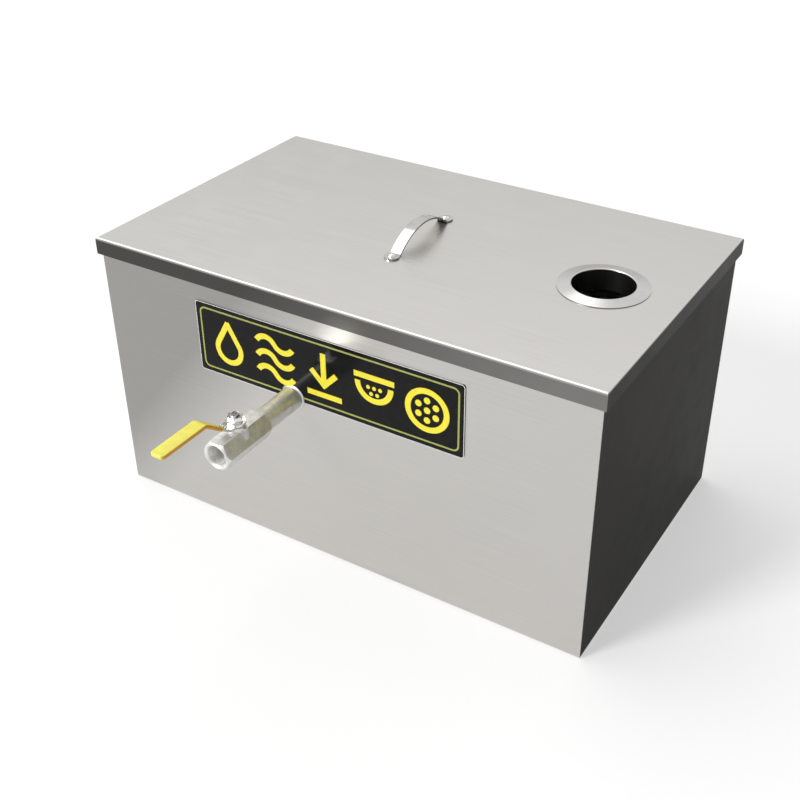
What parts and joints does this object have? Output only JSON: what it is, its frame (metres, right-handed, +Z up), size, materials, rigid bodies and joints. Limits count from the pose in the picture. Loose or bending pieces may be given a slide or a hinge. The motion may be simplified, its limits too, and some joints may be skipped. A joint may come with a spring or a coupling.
{
  "type": "grease trap",
  "caption": "Stainless box-shaped grease trap with a lift-off lid, inlet collar, bow handle, strainer basket, baffles, dip outlet and a lever ball valve on the front.",
  "frame": {"origin": "middle of the tank's underside", "axes": "+X along the tank towards the inlet end, -Y towards the front with the drain valve, +Z up"},
  "size_m": [0.5485, 0.4743, 0.2884],
  "materials": {
    "tank_steel": "satin brushed stainless sheet",
    "basket_steel": "perforated stainless sheet and wire",
    "collar_steel": "spun and polished stainless",
    "handle_steel": "polished stainless strip and screws",
    "valve_steel": "machined stainless bar",
    "bright_steel": "bright stainless",
    "seat_plastic": "white seat plastic",
    "sleeve_vinyl": "dipped yellow vinyl",
    "sign_plastic": "black plate with a yellow line border"
  },
  "bodies": {
    "tank": {"tank_wrap": "tank_steel", "end_panel_left": "tank_steel", "end_panel_right": "tank_steel", "inlet_baffle": "tank_steel", "outlet_baffle": "tank_steel", "basket_rails": "tank_steel", "outlet_pipe": "tank_steel", "dip_elbow": "tank_steel", "basket_wrap": "basket_steel", "basket_end_left": "basket_steel", "basket_end_right": "basket_steel", "basket_handles": "basket_steel", "drain_pipe": "valve_steel", "valve_body": "valve_steel", "valve_retainer": "bright_steel", "gland_nut": "bright_steel", "valve_seats": "seat_plastic", "stem_packing": "seat_plastic", "sign_plate": "sign_plastic"},
    "lid": {"lid": "tank_steel", "inlet_collar": "collar_steel", "lid_handle": "handle_steel", "handle_screws": "handle_steel", "handle_nuts": "handle_steel"},
    "valve_lever": {"valve_ball": "bright_steel", "valve_stem": "bright_steel", "lever": "bright_steel", "lever_sleeve": "sleeve_vinyl", "lever_washer": "bright_steel", "lever_nut": "bright_steel"}
  },
  "joints": [
    {"name": "lid_lift", "type": "slide", "parent": "tank", "child": "lid", "axis": [0, 0, 1], "range_m": [0, 0.25]},
    {"name": "valve_turn", "type": "hinge", "parent": "tank", "child": "valve_lever", "pos_m": [-0.039, -0.228, 0.168], "axis": [0, 0, -1], "range_deg": [0, 90]}
  ]
}
